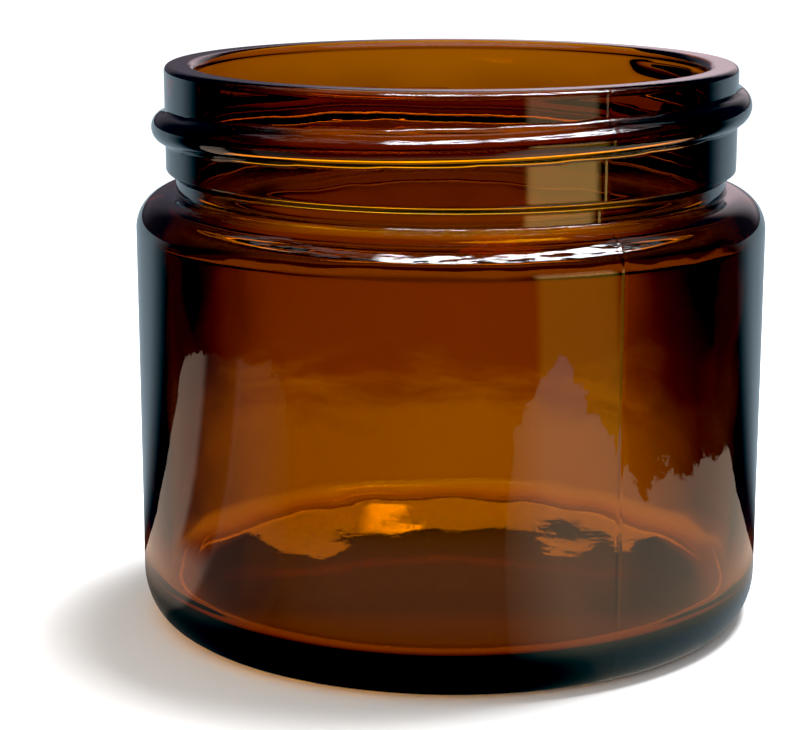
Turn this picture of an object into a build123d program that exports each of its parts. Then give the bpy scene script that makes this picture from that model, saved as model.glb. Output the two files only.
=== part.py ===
from build123d import *
from math import cos, radians, sin, sqrt
import os

os.makedirs("parts", exist_ok=True)

# Everything is in millimetres. The jar stands on z = 0 and its axis is +Z.
# The neck is a standard 53 mm continuous thread finish, six threads to the inch.

# Jar, outside
jar_height = 48.8
body_radius = 27.65
neck_radius = 24.95
thread_radius = 26.15
thread_lead = 25.4 / 6
heel_width = 2.6
heel_height = 4.0
bearing_width = 2.0
push_up = 0.8
shoulder_z = 37.85
shoulder_round = 3.2
groove_radius = 24.1
groove_top = 39.2
land_bottom = 39.75
rim_round = 0.5
lip_round = 0.8

# Jar, inside
bore_radius = 22.3
cavity_radius = 25.55
floor_z = 3.3
floor_round = 1.6
throat_z = 37.4
throat_drop = 2.4
throat_round = 2.0

# Jar thread: a round ridge, one strand, right-handed
ridge_round = 1.4
ridge_start_angle = 40
ridge_start_z = 41.73
ridge_turn = 350
run_out_turn = 15
tip_round = 0.35

# Cap and liner, closed on the jar. They rest open, lifted by a whole number of turns.
liner_gap = 0.05
liner_thickness = 1.0
liner_radius = 26.3
cap_bore_radius = 26.55
cap_outer_radius = 28.0
cap_top_thickness = 1.5
cap_skirt_z = 39.2
cap_edge_round = 0.9
cap_ridge_round = 0.9
cap_ridge_radius = 26.25
cap_ridge_delay = 60
cap_ridge_turn = 360
thread_gap = 0.1
flute_count = 90
flute_round = 0.55
plain_band = 1.8
open_turns = 9

lift = open_turns * thread_lead
ridge_radius = thread_radius - ridge_round
liner_z = jar_height + liner_gap
cap_roof_z = liner_z + liner_thickness + liner_gap
cap_top_z = cap_roof_z + cap_top_thickness

# The cap's ridge runs just under the jar's ridge, one thread_gap clear of it
ridge_drop = sqrt((ridge_round + cap_ridge_round + thread_gap) ** 2 - (cap_ridge_radius - ridge_radius) ** 2)
cap_ridge_start_angle = ridge_start_angle + cap_ridge_delay
cap_ridge_start_z = ridge_start_z + thread_lead * cap_ridge_delay / 360 - ridge_drop


def square_plane(radius, angle, height):
    """A plane square to a thread strand, with its x axis pointing away from the jar's axis."""
    outward = Vector(cos(radians(angle)), sin(radians(angle)), 0)
    along = Vector(-outward.Y * radius, outward.X * radius, thread_lead / radians(360))
    return Plane(origin=outward * radius + Vector(0, 0, height), x_dir=outward, z_dir=along)


def add_ridge(radius, round_radius, tip_radius, start_angle, start_z, turn):
    """Adds one right-handed thread ridge, whose two ends run out into the wall at tip_radius."""
    strand = Edge.make_helix(thread_lead, thread_lead * turn / 360, radius)
    strand = strand.moved(Location((0, 0, start_z), (0, 0, start_angle)))
    with BuildSketch(square_plane(radius, start_angle, start_z)) as section:
        Circle(round_radius)
    sweep(section.sketch, path=strand, is_frenet=True)
    for swept, step in ((0, -run_out_turn), (turn, run_out_turn)):
        end_z = start_z + thread_lead * swept / 360
        tip_z = end_z + thread_lead * step / 360
        with BuildSketch(square_plane(radius, start_angle + swept, end_z)) as end:
            Circle(round_radius)
        with BuildSketch(square_plane(tip_radius, start_angle + swept + step, tip_z)) as tip:
            Circle(tip_round)
        loft([end.sketch, tip.sketch])


# Glass jar: one moulded piece with a thick base and a short neck
with BuildPart() as glass_jar:
    with BuildSketch(Plane.XZ):
        with BuildLine():
            heel_start = body_radius - heel_width
            bearing_start = heel_start - bearing_width
            shoulder_start = body_radius - shoulder_round
            ThreePointArc((0, push_up), (bearing_start / 2, push_up * 0.75), (bearing_start, 0))
            Line((bearing_start, 0), (heel_start, 0))
            EllipticalCenterArc((heel_start, heel_height), heel_width, heel_height, start_angle=-90, arc_size=90)
            Line((body_radius, heel_height), (body_radius, shoulder_z - shoulder_round))
            CenterArc((shoulder_start, shoulder_z - shoulder_round), shoulder_round, 0, 90)
            Polyline(
                (shoulder_start, shoulder_z),
                (groove_radius, shoulder_z),
                (groove_radius, groove_top),
                (neck_radius, land_bottom),
                (neck_radius, jar_height - rim_round),
            )
            CenterArc((neck_radius - rim_round, jar_height - rim_round), rim_round, 0, 90)
            Polyline((neck_radius - rim_round, jar_height), (0, jar_height), (0, push_up))
        make_face()
    revolve(axis=Axis.Z)
    ridge_tip_radius = neck_radius - ridge_round / 2
    add_ridge(ridge_radius, ridge_round, ridge_tip_radius, ridge_start_angle, ridge_start_z, ridge_turn)
    with BuildSketch(Plane.XZ):
        with BuildLine():
            Polyline(
                (0, floor_z),
                (cavity_radius, floor_z),
                (cavity_radius, throat_z - throat_drop),
                (bore_radius, throat_z),
                (bore_radius, jar_height),
                (0, jar_height),
                close=True,
            )
        make_face()
        fillet(vertices().sort_by(Axis.Y)[0:2].sort_by(Axis.X)[-1], floor_round)
        fillet(vertices().filter_by_position(Axis.Y, throat_z - throat_drop - 1, throat_z + 1), throat_round)
    revolve(axis=Axis.Z, mode=Mode.SUBTRACT)
    top_circles = edges().filter_by(GeomType.CIRCLE).group_by(Axis.Z)[-1]
    fillet(top_circles.sort_by(SortBy.RADIUS)[0], lip_round)

# Liner: a soft disc that the cap presses on the rim
with BuildPart() as cap_liner:
    with BuildSketch(Plane.XY.offset(liner_z + lift)):
        Circle(liner_radius)
    extrude(amount=liner_thickness)

# Cap: a flat top and a fluted skirt, with the mating ridge inside the skirt
with BuildPart() as screw_cap:
    with BuildSketch(Plane.XZ):
        with BuildLine():
            Polyline(
                (0, cap_roof_z + lift),
                (cap_bore_radius, cap_roof_z + lift),
                (cap_bore_radius, cap_skirt_z + lift),
                (cap_outer_radius, cap_skirt_z + lift),
                (cap_outer_radius, cap_top_z + lift),
                (0, cap_top_z + lift),
                close=True,
            )
        make_face()
        fillet(vertices().group_by(Axis.Y)[-1].sort_by(Axis.X)[-1], cap_edge_round)
    revolve(axis=Axis.Z)
    cap_tip_radius = cap_bore_radius + cap_ridge_round / 2
    add_ridge(
        cap_ridge_radius,
        cap_ridge_round,
        cap_tip_radius,
        cap_ridge_start_angle,
        cap_ridge_start_z + lift,
        cap_ridge_turn,
    )
    with BuildSketch(Plane.XY.offset(cap_skirt_z + lift)):
        with PolarLocations(cap_outer_radius, flute_count):
            Circle(flute_round)
    extrude(amount=cap_top_z - plain_band - cap_skirt_z, mode=Mode.SUBTRACT)

glass_jar.part.label = "glass_jar"
cap_liner.part.label = "cap_liner"
screw_cap.part.label = "screw_cap"
export_step(glass_jar.part, "parts/glass_jar.step")
export_step(cap_liner.part, "parts/cap_liner.step")
export_step(screw_cap.part, "parts/screw_cap.step")
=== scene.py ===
"""Looks for the amber cream jar: moulded glass, a black screw cap and its foam liner, on a pale floor.

The cap and the liner keep their CAD shapes and get materials. The glass jar is one closed skin turned from
the jar's profile, with the thread, the parting lines and slightly uneven walls. The floor and the room are
plain and pale to the camera. Seen through the glass or mirrored in it they are a painted studio, which
turns with the camera.

The jar's dimensions are in millimetres. Every other length is in metres, and angles are in degrees. The jar
stands on z = 0 and its axis is +Z.
"""

import math

import bpy
import numpy as np
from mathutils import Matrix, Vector, noise


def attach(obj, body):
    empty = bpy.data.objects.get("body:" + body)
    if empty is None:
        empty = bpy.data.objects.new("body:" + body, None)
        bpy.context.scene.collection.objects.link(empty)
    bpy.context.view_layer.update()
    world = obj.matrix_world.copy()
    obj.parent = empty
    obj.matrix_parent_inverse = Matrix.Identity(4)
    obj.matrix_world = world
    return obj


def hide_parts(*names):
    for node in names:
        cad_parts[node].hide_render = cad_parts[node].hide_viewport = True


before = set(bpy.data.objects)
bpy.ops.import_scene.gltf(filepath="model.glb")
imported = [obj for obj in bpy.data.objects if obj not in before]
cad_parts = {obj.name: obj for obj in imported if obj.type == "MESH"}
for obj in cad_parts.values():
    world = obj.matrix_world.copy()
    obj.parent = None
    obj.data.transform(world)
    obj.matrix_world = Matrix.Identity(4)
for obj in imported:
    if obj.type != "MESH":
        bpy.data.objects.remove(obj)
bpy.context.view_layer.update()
MM = 0.001

# Jar, outside
JAR_HEIGHT = 48.8
BODY_RADIUS = 27.65
HEEL_WIDTH = 2.6
HEEL_HEIGHT = 4.0
PUSH_UP = 0.8
BEARING_RADIUS = 23.0
WALL_BOTTOM = 4.4
WALL_TOP = 34.55
SHOULDER_Z = 37.85
SHOULDER_ROUND = 3.2
GROOVE_RADIUS = 24.1
GROOVE_TOP = 39.2
NECK_RADIUS = 24.95
LAND_BOTTOM = 39.75
RIM_ROUND = 0.5

# Jar, inside
LIP_ROUND = 0.8
BORE_RADIUS = 22.3
THROAT_TOP = 37.4
THROAT_BOTTOM = 35.0
THROAT_ROUND = 2.0
CAVITY_RADIUS = 25.55
FLOOR_Z = 3.3
FLOOR_ROUND = 1.6
FLAT_FLOOR_RADIUS = 23.6

# Thread: one round right-handed ridge that runs out into the neck at both ends
THREAD_LEAD = 25.4 / 6
THREAD_RADIUS = 26.15
THREAD_ROUND = 1.4
THREAD_START_ANGLE = 40.0
THREAD_START_Z = 41.73
THREAD_TURN = 350.0
RUN_OUT_TURN = 15
RUN_OUT_BLEND = 22
THREAD_ZONE_BOTTOM = 40.2
THREAD_ZONE_TOP = 48.5
THREAD_ROOT_DEPTH = 0.3

# The mould's two parting lines, opposite each other. The far one is nearly flat.
SEAM_ANGLE = 299.7
SEAM_HEIGHT = 0.016
FAR_SEAM_HEIGHT = 0.003
SEAM_HALF_WIDTH = 0.3

# Unevenness of the moulded glass, as (height, grain). Inside, it fades out at the rim and in mid-floor.
OUTER_RIPPLE = (0.012, 9)
WALL_RIPPLE = (0.09, 11)
FINE_WALL_RIPPLE = (0.03, 4)
FLOOR_RIPPLE = (0.007, 12)
RIM_CALM_DEPTH = 8
FLOOR_CALM_RADIUS = 8
STEADY_RADIUS = 12
WALL_FOOT_HEIGHT = 5

# Mesh spacing: millimetres along the profile, degrees round it
DISH_STEPS = 40
ARC_STEPS = 24
FILLET_STEPS = 9
WALL_SPACING = 0.8
FLOOR_SPACING = 0.6
NECK_SPACING = 0.2
COLUMN_STEP = 0.8
SEAM_COLUMN_STEP = 0.15
SEAM_COLUMN_REACH = 1.2


def arc(centre, radii, start, end, steps):
    """Points of an ellipse's arc as (radius, height) pairs."""
    angles = np.radians(np.linspace(start, end, steps))
    return list(zip(centre[0] + radii[0] * np.cos(angles), centre[1] + radii[1] * np.sin(angles)))


def straight(start, end, spacing):
    """Points from start to end, both included, no further apart than spacing."""
    steps = max(2, int(math.dist(start, end) / spacing) + 2)
    return list(zip(np.linspace(start[0], end[0], steps), np.linspace(start[1], end[1], steps)))


def rounded(corners, spacing):
    """A path through corners given as (radius, height, fillet), with each corner rounded by its fillet."""
    path = []
    for i, (r, z, fillet) in enumerate(corners):
        here = Vector((r, z))
        if fillet == 0:
            path.append((r, z))
            continue
        before = (Vector(corners[i - 1][:2]) - here).normalized()
        after = (Vector(corners[i + 1][:2]) - here).normalized()
        half = before.angle(after) / 2
        reach = fillet / math.tan(half)
        centre = here + (before + after).normalized() * fillet / math.sin(half)
        first = here + before * reach - centre
        last = here + after * reach - centre
        for k in np.linspace(0, 1, FILLET_STEPS):
            path.append(tuple(centre + fillet * first.slerp(last, k)))
    full = [path[0]]
    for start, end in zip(path, path[1:]):
        full += straight(start, end, spacing)[1:]
    return full


def jar_profile():
    """The jar's half section from under its base, up the outside, over the rim and down inside."""
    dish_radii = np.linspace(0, BEARING_RADIUS, DISH_STEPS)
    dish = [(r, PUSH_UP * (1 - (r / BEARING_RADIUS) ** 2)) for r in dish_radii]
    heel_centre = (BODY_RADIUS - HEEL_WIDTH, HEEL_HEIGHT)
    heel = arc(heel_centre, (HEEL_WIDTH, HEEL_HEIGHT), -90, 0, ARC_STEPS)
    wall = straight((BODY_RADIUS, WALL_BOTTOM), (BODY_RADIUS, WALL_TOP), WALL_SPACING)
    shoulder_centre = (BODY_RADIUS - SHOULDER_ROUND, SHOULDER_Z - SHOULDER_ROUND)
    shoulder = arc(shoulder_centre, (SHOULDER_ROUND, SHOULDER_ROUND), 0, 84, ARC_STEPS)
    neck_and_inside = rounded(
        [
            (BODY_RADIUS - SHOULDER_ROUND, SHOULDER_Z, 0),
            (GROOVE_RADIUS, SHOULDER_Z, 0.2),
            (GROOVE_RADIUS, GROOVE_TOP, 0.25),
            (NECK_RADIUS, LAND_BOTTOM, 0.3),
            (NECK_RADIUS, JAR_HEIGHT, RIM_ROUND),
            (BORE_RADIUS, JAR_HEIGHT, LIP_ROUND),
            (BORE_RADIUS, THROAT_TOP, THROAT_ROUND),
            (CAVITY_RADIUS, THROAT_BOTTOM, THROAT_ROUND),
            (CAVITY_RADIUS, FLOOR_Z, FLOOR_ROUND),
            (FLAT_FLOOR_RADIUS, FLOOR_Z, 0),
        ],
        NECK_SPACING,
    )
    flat_floor = straight((FLAT_FLOOR_RADIUS, FLOOR_Z), (0, FLOOR_Z), FLOOR_SPACING)[1:]
    return dish + heel + wall + shoulder + neck_and_inside + flat_floor


def thread_height(angle, height):
    """How far the thread ridge stands out of the neck at an angle and a height."""
    tallest = 0.0
    sunk = THREAD_RADIUS - THREAD_ROUND - NECK_RADIUS
    for lap in (-1, 0, 1, 2):
        swept = (angle - THREAD_START_ANGLE) % 360 + 360 * lap
        run_out = min(swept + RUN_OUT_TURN, THREAD_TURN + RUN_OUT_TURN - swept) / RUN_OUT_BLEND
        if run_out <= 0:
            continue
        centre = THREAD_START_Z + THREAD_LEAD * swept / 360
        offset = abs(height - centre)
        if offset < THREAD_ROUND:
            bulge = math.sqrt(THREAD_ROUND**2 - offset**2) + sunk
            tallest = max(tallest, bulge * min(1.0, run_out))
    return tallest


def seam_height(angle):
    """How far the mould's parting lines stand out of the glass at an angle."""
    height = 0.0
    for seam, tallest in ((SEAM_ANGLE, SEAM_HEIGHT), (SEAM_ANGLE - 180, FAR_SEAM_HEIGHT)):
        away = abs((angle - seam + 180) % 360 - 180)
        offset = math.radians(away) * BODY_RADIUS / SEAM_HALF_WIDTH
        height += tallest * math.exp(-(offset**2) * 3)
    return height


def ripple(size_and_grain, angle, height, seed):
    """A smooth random unevenness, up or down by at most its size. The seed picks one pattern."""
    size, grain = size_and_grain
    a = math.radians(angle)
    spot = Vector((math.cos(a) * CAVITY_RADIUS, math.sin(a) * CAVITY_RADIUS, height + seed)) / grain
    return size * noise.noise(spot)


def outer_radius(angle, radius, height):
    """The outer skin's radius: the profile's, plus the parting lines, the thread and a faint ripple."""
    moved = radius
    if radius > BEARING_RADIUS:
        moved += seam_height(angle)
    below_neck = NECK_RADIUS - radius
    if THREAD_ZONE_BOTTOM < height < THREAD_ZONE_TOP and below_neck < THREAD_ROOT_DEPTH:
        moved += max(0, thread_height(angle, height) - below_neck)
    return moved + ripple(OUTER_RIPPLE, angle, height, 40)


def inner_radius(angle, radius, height):
    """The inner skin's radius: the profile's, with an uneven wall that calms down towards the rim."""
    if radius <= STEADY_RADIUS:
        return radius
    calm = min(1, (JAR_HEIGHT - height) / RIM_CALM_DEPTH)
    uneven = ripple(WALL_RIPPLE, angle, height, 0) + ripple(FINE_WALL_RIPPLE, angle, height, 90)
    return radius + calm * uneven


def floor_lift(angle, radius, height):
    """How far the inner floor and the foot of the inner wall are pushed up or down."""
    if height >= FLOOR_Z + WALL_FOOT_HEIGHT:
        return 0.0
    return ripple(FLOOR_RIPPLE, angle, radius * 2, 200) * min(1, radius / FLOOR_CALM_RADIUS)


def column_angles():
    """Angles of the mesh's columns: even all round, and close together at the two parting lines."""
    angles = set(np.round(np.arange(0, 360, COLUMN_STEP), 3))
    reach = np.arange(-SEAM_COLUMN_REACH, SEAM_COLUMN_REACH + 0.01, SEAM_COLUMN_STEP)
    for seam in (SEAM_ANGLE, SEAM_ANGLE - 180):
        angles |= {round(seam + step, 3) for step in reach}
    return sorted(angles)


def skin_vertices(profile, angles):
    """A ring of points round the axis for each profile point, or one point where that is on the axis."""
    rim = max(range(len(profile)), key=lambda i: (round(profile[i][1], 3), profile[i][0]))
    vertices = []
    for i, (radius, height) in enumerate(profile):
        on_axis = radius < 0.01
        if on_axis:
            vertices.append((0, 0, height * MM))
            continue
        for angle in angles:
            if i <= rim:
                r = outer_radius(angle, radius, height)
                z = height
            else:
                r = inner_radius(angle, radius, height)
                z = height + floor_lift(angle, radius, height)
            a = math.radians(angle)
            vertices.append((r * math.cos(a) * MM, r * math.sin(a) * MM, z * MM))
    return vertices


def skin_faces(ring_count, column_count):
    """Faces of a skin of rings that is closed by one point at each end."""
    faces = [(0, 1 + (k + 1) % column_count, 1 + k) for k in range(column_count)]
    for ring in range(ring_count - 1):
        low = 1 + ring * column_count
        high = low + column_count
        for k in range(column_count):
            after = (k + 1) % column_count
            faces.append((low + k, low + after, high + after, high + k))
    last = 1 + (ring_count - 1) * column_count
    tip = last + column_count
    faces += [(last + k, last + (k + 1) % column_count, tip) for k in range(column_count)]
    return faces


def glass_mesh():
    """The jar as one closed skin turned from its profile."""
    profile = jar_profile()
    angles = column_angles()
    mesh = bpy.data.meshes.new("jar_glass")
    mesh.from_pydata(skin_vertices(profile, angles), [], skin_faces(len(profile) - 2, len(angles)))
    mesh.polygons.foreach_set("use_smooth", [True] * len(mesh.polygons))
    mesh.update()
    return mesh


class Nodes:
    """Adds nodes to one emptied node tree. A value is a number, a colour or another node's output."""

    def __init__(self, tree):
        self.tree = tree
        tree.nodes.clear()

    def add(self, kind, inputs=None, **settings):
        """A node with its settings and inputs set."""
        node = self.tree.nodes.new(kind)
        for key, value in settings.items():
            setattr(node, key, value)
        for key, value in (inputs or {}).items():
            self.set(node.inputs[key], value)
        return node

    def set(self, socket, value):
        """Gives a socket its value."""
        if isinstance(value, bpy.types.NodeSocket):
            self.tree.links.new(value, socket)
        else:
            socket.default_value = value

    def math(self, operation, *values, clamp=False):
        """The result of one math operation."""
        node = self.add("ShaderNodeMath", operation=operation, use_clamp=clamp)
        for i, value in enumerate(values):
            self.set(node.inputs[i], value)
        return node.outputs[0]

    def times(self, first, *others):
        """The product of all values."""
        product = first
        for value in others:
            product = self.math("MULTIPLY", product, value)
        return product

    def line(self, value, slope, offset):
        """slope * value + offset"""
        return self.math("MULTIPLY_ADD", value, slope, offset)

    def smooth(self, value, low, high):
        """0 below low, 1 above high, with a soft step between."""
        inputs = {0: value, 1: low, 2: high}
        return self.add("ShaderNodeMapRange", inputs, interpolation_type="SMOOTHSTEP").outputs[0]

    def fade(self, value, low, high):
        """1 below low, 0 above high, with a soft step between."""
        return self.math("SUBTRACT", 1.0, self.smooth(value, low, high))

    def band(self, value, low, high, soft):
        """1 between low and high, with soft edges."""
        rise = self.smooth(value, low - soft, low + soft)
        fall = self.smooth(value, high - soft, high + soft)
        return self.math("SUBTRACT", rise, fall, clamp=True)

    def noise(self, where, scale, detail, roughness=0.5):
        """Soft noise round 0.5."""
        inputs = {"Vector": where, "Scale": scale, "Detail": detail, "Roughness": roughness}
        return self.add("ShaderNodeTexNoise", inputs).outputs["Fac"]

    def mix(self, factor, first, second):
        """The first colour where factor is 0 and the second where it is 1."""
        node = self.add("ShaderNodeMix", data_type="RGBA")
        self.set(node.inputs[0], factor)
        self.set(node.inputs[6], first)
        self.set(node.inputs[7], second)
        return node.outputs[2]

    def paint(self, ground, *coats):
        """A ground colour under coats given as (factor, colour), with the last on top."""
        color = ground
        for factor, coat in coats:
            color = self.mix(factor, color, coat)
        return color


def new_material(name):
    """A material with an empty node tree, and the helper that fills it."""
    material = bpy.data.materials.new(name)
    material.use_nodes = True
    return material, Nodes(material.node_tree)


def glass_material():
    """Clear glass whose amber comes from light being absorbed along its path."""
    material, n = new_material("amber_glass")
    where = n.add("ShaderNodeNewGeometry").outputs["Position"]
    grain = n.noise(where, 420.0, 3.0)
    bump = n.add("ShaderNodeBump", {"Strength": 0.02, "Distance": 0.0002, "Height": grain}).outputs[0]
    inputs = {"Color": (1, 1, 1, 1), "Roughness": 0.0, "IOR": 1.52, "Normal": bump}
    surface = n.add("ShaderNodeBsdfGlass", inputs)
    volume = n.add("ShaderNodeVolumeAbsorption", {"Color": (0.863, 0.74, 0.0, 1), "Density": 2000.0})
    n.add("ShaderNodeOutputMaterial", {"Surface": surface.outputs[0], "Volume": volume.outputs[0]})
    return material


def plastic_material():
    """Black moulded polypropylene: semi-gloss with a very fine grain."""
    material, n = new_material("cap_plastic")
    where = n.add("ShaderNodeNewGeometry").outputs["Position"]
    grain = n.noise(where, 5000.0, 4.0)
    bump = n.add("ShaderNodeBump", {"Strength": 0.15, "Distance": 0.00005, "Height": grain}).outputs[0]
    rough = n.line(grain, 0.15, 0.25)
    inputs = {"Base Color": (0.012, 0.012, 0.013, 1), "Roughness": rough, "IOR": 1.49, "Normal": bump}
    surface = n.add("ShaderNodeBsdfPrincipled", inputs)
    n.add("ShaderNodeOutputMaterial", {"Surface": surface.outputs[0]})
    return material


def foam_material():
    """White closed-cell foam with fine pits."""
    material, n = new_material("liner_foam")
    where = n.add("ShaderNodeNewGeometry").outputs["Position"]
    cells = n.add("ShaderNodeTexVoronoi", {"Vector": where, "Scale": 2600.0}).outputs["Distance"]
    tone = n.mix(cells, (0.86, 0.86, 0.84, 1), (0.72, 0.72, 0.7, 1))
    bump = n.add("ShaderNodeBump", {"Strength": 0.3, "Distance": 0.0001, "Height": cells}).outputs[0]
    surface = n.add("ShaderNodeBsdfPrincipled", {"Base Color": tone, "Roughness": 0.8, "Normal": bump})
    n.add("ShaderNodeOutputMaterial", {"Surface": surface.outputs[0]})
    return material


def add_glass_jar():
    """The glass skin, which stands for the CAD jar."""
    jar = bpy.data.objects.new("jar_glass", glass_mesh())
    bpy.context.scene.collection.objects.link(jar)
    jar.data.materials.append(glass_material())
    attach(jar, "jar")
    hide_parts("glass_jar")


def finish_lifted_node(name, material):
    """Gives a CAD node its material. Only the camera and reflections see it, and it casts no shadow."""
    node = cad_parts[name]
    node.data.materials.clear()
    node.data.materials.append(material)
    node.visible_shadow = False
    node.visible_diffuse = False
    node.visible_transmission = False


def camera_sector(n, direction):
    """The angle of a direction round the jar, and the direction in the camera's own axes.

    The angle is 0 straight behind the jar as the camera sees it, 180 in front, and positive on the right.
    """
    turned = n.add(
        "ShaderNodeVectorTransform",
        {0: direction},
        vector_type="VECTOR",
        convert_from="WORLD",
        convert_to="CAMERA",
    ).outputs[0]
    parts = n.add("ShaderNodeSeparateXYZ", {0: turned})
    sector = n.math("ARCTAN2", parts.outputs["X"], parts.outputs["Z"])
    return n.times(sector, 180 / math.pi), turned


class FloorPlace:
    """Where a point of the floor is as the camera sees it. Depth runs back behind the jar's axis."""

    def __init__(self, n):
        where = n.add("ShaderNodeNewGeometry").outputs["Position"]
        self.distance = n.add("ShaderNodeVectorMath", {0: where}, operation="LENGTH").outputs["Value"]
        self.sector, turned = camera_sector(n, where)
        self.aside = n.math("ABSOLUTE", self.sector)
        turn = n.math("RADIANS", self.aside)
        self.depth = n.times(self.distance, n.math("COSINE", turn))
        self.side = n.times(self.distance, n.math("SINE", turn))
        self.wobble = n.math("SUBTRACT", n.noise(turned, 45.0, 8.0, 0.65), 0.5)


def floor_through_glass(n, at):
    """Painted light and shade of the floor seen through glass: a lit path runs back behind the jar over
    painted dark. Close to the jar it is lit all round.
    """
    uneven = n.line(at.wobble, 0.13, at.distance)
    # Painted light just outside the far heel
    far_heel = n.times(n.fade(at.distance, 0.027, 0.036), n.smooth(at.depth, 0.005, 0.015))
    lit = n.paint(
        (1.0, 0.7, 0.7, 1),
        (n.smooth(uneven, 0.06, 0.11), (0.6, 0.25, 0.22, 1)),
        (n.smooth(at.distance, 0.15, 0.3), (0.33, 0.15, 0.12, 1)),
        (n.smooth(at.distance, 0.35, 0.55), (0.66, 0.36, 0.27, 1)),
        (far_heel, (1.8, 1.6, 1.4, 1)),
    )
    # The path's half width grows with depth, then narrows, and opens wide at the far end
    half_width = n.line(at.depth, 0.12, 0.026)
    half_width = n.line(n.smooth(at.depth, 0.2, 0.28), -0.03, half_width)
    half_width = n.line(n.smooth(at.depth, 0.38, 0.46), 0.2, half_width)
    past_edge = n.math("SUBTRACT", at.side, half_width)
    dark = n.mix(n.smooth(past_edge, 0.004, 0.03), (0.12, 0.03, 0.02, 1), (0.012, 0.014, 0.022, 1))
    path = n.times(
        n.fade(past_edge, -0.014, 0.01),
        n.smooth(at.depth, 0.0, 0.02),
        n.fade(at.distance, 0.72, 0.85),
    )
    near = n.fade(at.distance, 0.032, 0.045)
    around = n.mix(n.math("MAXIMUM", path, near), dark, lit)
    # Painted shade under the jar's base, lighter towards its front
    under = n.mix(n.smooth(at.depth, -0.014, -0.009), (0.42, 0.26, 0.3, 1), (0.22, 0.14, 0.2, 1))
    return n.mix(n.smooth(at.distance, 0.0225, 0.0245), under, around)


def lit_patch_reflection(n, at):
    """How much painted reflection of pale lit floor the glass shows: a patch on the left, one from the
    right to the front.
    """
    left = n.times(n.band(at.sector, -130, -72, 9), 0.14)
    right_tip = n.times(n.band(at.sector, 134, 158, 16), 0.07)
    right = n.line(n.band(at.sector, 72, 166, 6), 0.085, right_tip)
    edge = n.line(at.wobble, 0.06, n.math("ADD", left, right))
    cover = n.smooth(n.math("SUBTRACT", edge, at.distance), -0.0012, 0.0012)
    streak = n.times(n.band(at.sector, -106, -90, 2), n.smooth(at.distance, 0.045, 0.055))
    return n.times(
        cover,
        n.smooth(at.sector, -140, -112),
        n.line(n.smooth(at.sector, -108, -104), 0.7, 0.3),
        n.fade(at.sector, 146, 172),
        n.line(n.smooth(at.distance, 0.029, 0.04), 0.85, 0.15),
        n.line(streak, -0.9, 1.0),
    )


def mirrored_floor(n, at):
    """Painted reflection of the floor: dark, with pale lit patches, a golden strip in front on the right,
    blue-grey behind.
    """
    # Painted reflection of a bright strip in front on the right, golden further off
    strip_tone = n.paint(
        (0.2, 0.16, 0.12, 1),
        (n.smooth(at.distance, 0.07, 0.11), (1.1, 0.75, 0.1, 1)),
        (n.smooth(at.distance, 0.2, 0.27), (4.3, 2.6, 0.8, 1)),
        (n.smooth(at.distance, 0.38, 0.42), (1.6, 1.1, 0.6, 1)),
    )
    # Tone of the painted reflection of pale lit floor
    lit_patch_tone = n.mix(n.smooth(at.sector, 60, 130), (1.0, 0.76, 0.6, 1), (1.15, 1.05, 0.8, 1))
    # Painted reflection of a grey band across the floor in front
    grey_band_reflection = n.times(n.band(at.distance, 0.044, 0.07, 0.008), n.smooth(at.aside, 110, 150))
    heel_sheen = n.times(n.band(at.distance, 0.027, 0.034, 0.003), n.band(at.sector, 70, 150, 12))
    return n.paint(
        (0.016, 0.014, 0.016, 1),
        (n.band(at.sector, 124, 152, 2), strip_tone),
        (grey_band_reflection, (0.2, 0.19, 0.2, 1)),
        (heel_sheen, (0.3, 0.4, 0.5, 1)),
        (lit_patch_reflection(n, at), lit_patch_tone),
        (n.fade(at.aside, 46, 66), (0.4, 0.5, 0.58, 1)),
    )


def floor_material():
    """A pale floor that takes shadows near the jar and is white further off. To glass it glows with painted
    light and shade.
    """
    material, n = new_material("pale_floor")
    at = FloorPlace(n)
    rays = n.add("ShaderNodeLightPath").outputs
    glow_tone = n.paint(
        mirrored_floor(n, at),
        (rays["Is Transmission Ray"], floor_through_glass(n, at)),
        (rays["Is Camera Ray"], (1.2, 1.2, 1.2, 1)),
    )
    in_glass = n.math("MAXIMUM", rays["Is Glossy Ray"], rays["Is Transmission Ray"])
    far = n.times(n.smooth(at.distance, 0.12, 0.35), rays["Is Camera Ray"])
    pale = n.add("ShaderNodeBsdfDiffuse", {"Color": (0.92, 0.92, 0.92, 1)}).outputs[0]
    glow = n.add("ShaderNodeEmission", {"Color": glow_tone}).outputs[0]
    surface = n.add("ShaderNodeMixShader", {0: n.math("MAXIMUM", in_glass, far), 1: pale, 2: glow})
    n.add("ShaderNodeOutputMaterial", {"Surface": surface.outputs[0]})
    return material


def room_through_glass(n, sector, turned, up):
    """A dark room with a dim wall behind the jar.

    A wide bright band crosses the wall, with a small lamp in it and a lilac patch above it.
    """
    aside = n.math("ABSOLUTE", sector)
    wall = n.times(n.fade(aside, 3, 10), n.fade(up, 24, 32))
    wall_tone = n.mix(n.smooth(up, 6, 10), (0.4, 0.2, 0.16, 1), (0.2, 0.12, 0.08, 1))
    bright_band = n.times(n.fade(aside, 14, 24), n.band(up, 13, 17.05, 0.1))
    patch_above = n.times(n.fade(aside, 6, 12), n.band(up, 17.1, 26, 0.1))
    uneven_up = n.line(n.math("SUBTRACT", n.noise(turned, 90.0, 5.0), 0.5), 1.2, up)
    lamp = n.times(n.band(sector, -2.0, 0.0, 0.5), n.band(uneven_up, 16.35, 16.85, 0.12))
    return n.paint(
        (0.04, 0.04, 0.05, 1),
        (wall, wall_tone),
        (bright_band, (4.8, 3.6, 3.4, 1)),
        (patch_above, (0.7, 0.6, 0.8, 1)),
        (lamp, (16, 12, 4, 1)),
    )


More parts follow.
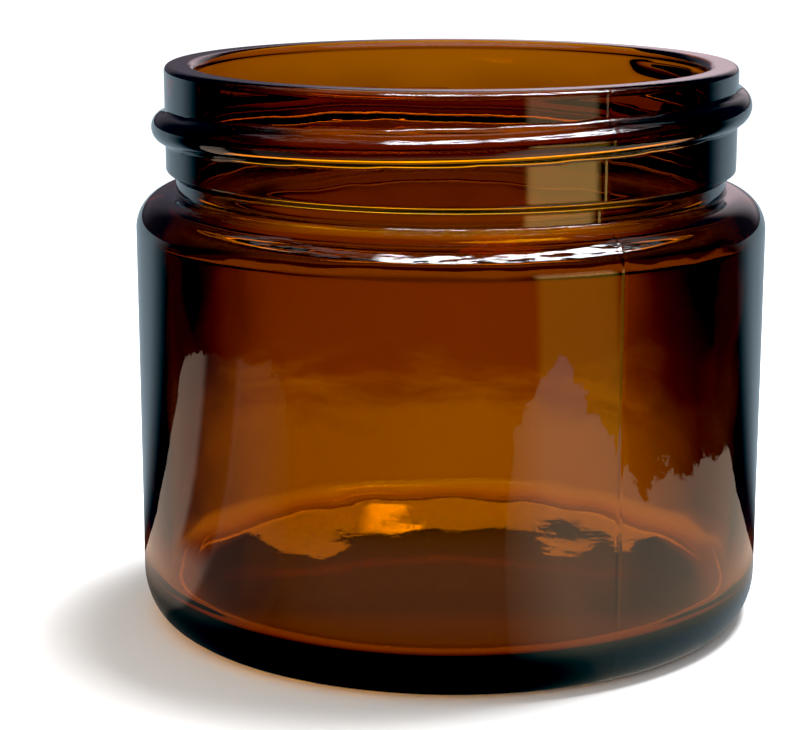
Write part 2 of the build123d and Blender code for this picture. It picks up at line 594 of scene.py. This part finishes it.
def mirrored_room(n, sector, turned, up, inside_glass):
    """A dark room with a long patchy window high up in front, and a wall behind that is pale on the right.

    Rays that have entered the glass meet a far dimmer window.
    """
    aside = n.math("ABSOLUTE", sector)
    front = n.math("MAXIMUM", n.smooth(sector, 105, 115), n.fade(sector, -158, -150))
    window = n.times(
        n.band(up, 36, 58, 1),
        n.line(front, 0.98, 0.02),
        n.smooth(aside, 70, 90),
        n.smooth(n.noise(turned, 9.0, 2.0), 0.42, 0.54),
        n.line(inside_glass, -0.9, 1.0),
    )
    wall = n.times(n.fade(aside, 20, 40), n.band(up, 2, 26, 4))
    wall_tone = n.paint(
        (0.15, 0.12, 0.15, 1),
        (n.smooth(sector, -4.5, 4.8), (0.95, 0.73, 0.8, 1)),
        (n.smooth(sector, 10, 22), (0.6, 0.52, 0.56, 1)),
    )
    return n.paint((0.05, 0.03, 0.038, 1), (wall, wall_tone), (window, (34, 36, 38, 1)))


def make_world():
    """White to the camera and even soft light on the floor. Glass shows the painted room."""
    world = bpy.data.worlds.new("studio")
    bpy.context.scene.world = world
    world.use_nodes = True
    n = Nodes(world.node_tree)
    direction = n.add("ShaderNodeTexCoord").outputs["Generated"]
    rays = n.add("ShaderNodeLightPath").outputs
    sector, turned = camera_sector(n, direction)
    height = n.add("ShaderNodeSeparateXYZ", {0: direction}).outputs["Z"]
    up = n.times(n.math("ARCSINE", height), 180 / math.pi)
    inside_glass = n.math("GREATER_THAN", rays["Transmission Depth"], 0.5)
    color = n.paint(
        (0.75, 0.75, 0.75, 1),
        (rays["Is Glossy Ray"], mirrored_room(n, sector, turned, up, inside_glass)),
        (rays["Is Transmission Ray"], room_through_glass(n, sector, turned, up)),
        (rays["Is Camera Ray"], (1.2, 1.2, 1.2, 1)),
    )
    background = n.add("ShaderNodeBackground", {"Color": color, "Strength": 1.0})
    n.add("ShaderNodeOutputWorld", {"Surface": background.outputs[0]})


def add_floor():
    """A wide floor at z = 0."""
    bpy.ops.mesh.primitive_plane_add(size=12, location=(0, 0, 0))
    floor = bpy.context.object
    floor.name = "floor"
    floor.data.materials.append(floor_material())


def add_softbox(name, place, aim, size, watts):
    """A square softbox at place, turned to aim, that glass doesn't mirror."""
    data = bpy.data.lights.new(name, "AREA")
    data.shape = "SQUARE"
    data.size = size
    data.energy = watts
    light = bpy.data.objects.new(name, data)
    bpy.context.scene.collection.objects.link(light)
    light.location = place
    light.rotation_mode = "QUATERNION"
    light.rotation_quaternion = (Vector(aim) - Vector(place)).to_track_quat("-Z", "Y")
    light.visible_glossy = False


def add_camera(place, look_down, turn_left, lens):
    """The photograph's viewing angle, from about 0.2 m away."""
    data = bpy.data.cameras.new("camera")
    data.sensor_width = 36.0
    data.lens = lens
    data.clip_start = 0.01
    camera = bpy.data.objects.new("camera", data)
    bpy.context.scene.collection.objects.link(camera)
    camera.location = place
    camera.rotation_euler = (math.radians(90 - look_down), 0, math.radians(turn_left))
    bpy.context.scene.camera = camera


def set_light_paths_and_tones():
    """Plain tones with slightly deeper blacks, and enough bounces for light to cross both glass walls."""
    scene = bpy.context.scene
    scene.view_settings.view_transform = "Standard"
    scene.view_settings.use_curve_mapping = True
    scene.view_settings.curve_mapping.black_level = (0.012, 0.005, 0.003)
    scene.cycles.max_bounces = 24
    scene.cycles.transmission_bounces = 24
    scene.cycles.glossy_bounces = 12
    scene.cycles.diffuse_bounces = 4
    scene.cycles.caustics_refractive = True
    scene.cycles.caustics_reflective = False
    scene.cycles.sample_clamp_indirect = 6.0


add_glass_jar()
finish_lifted_node("screw_cap", plastic_material())
finish_lifted_node("cap_liner", foam_material())
add_floor()
make_world()
add_softbox("key", place=(0.15, 0.12, 0.62), aim=(0, 0, 0.02), size=0.22, watts=8.0)
add_camera(place=(0, -0.1969, 0.0669), look_down=12.95, turn_left=1.29, lens=101.0)
set_light_paths_and_tones()
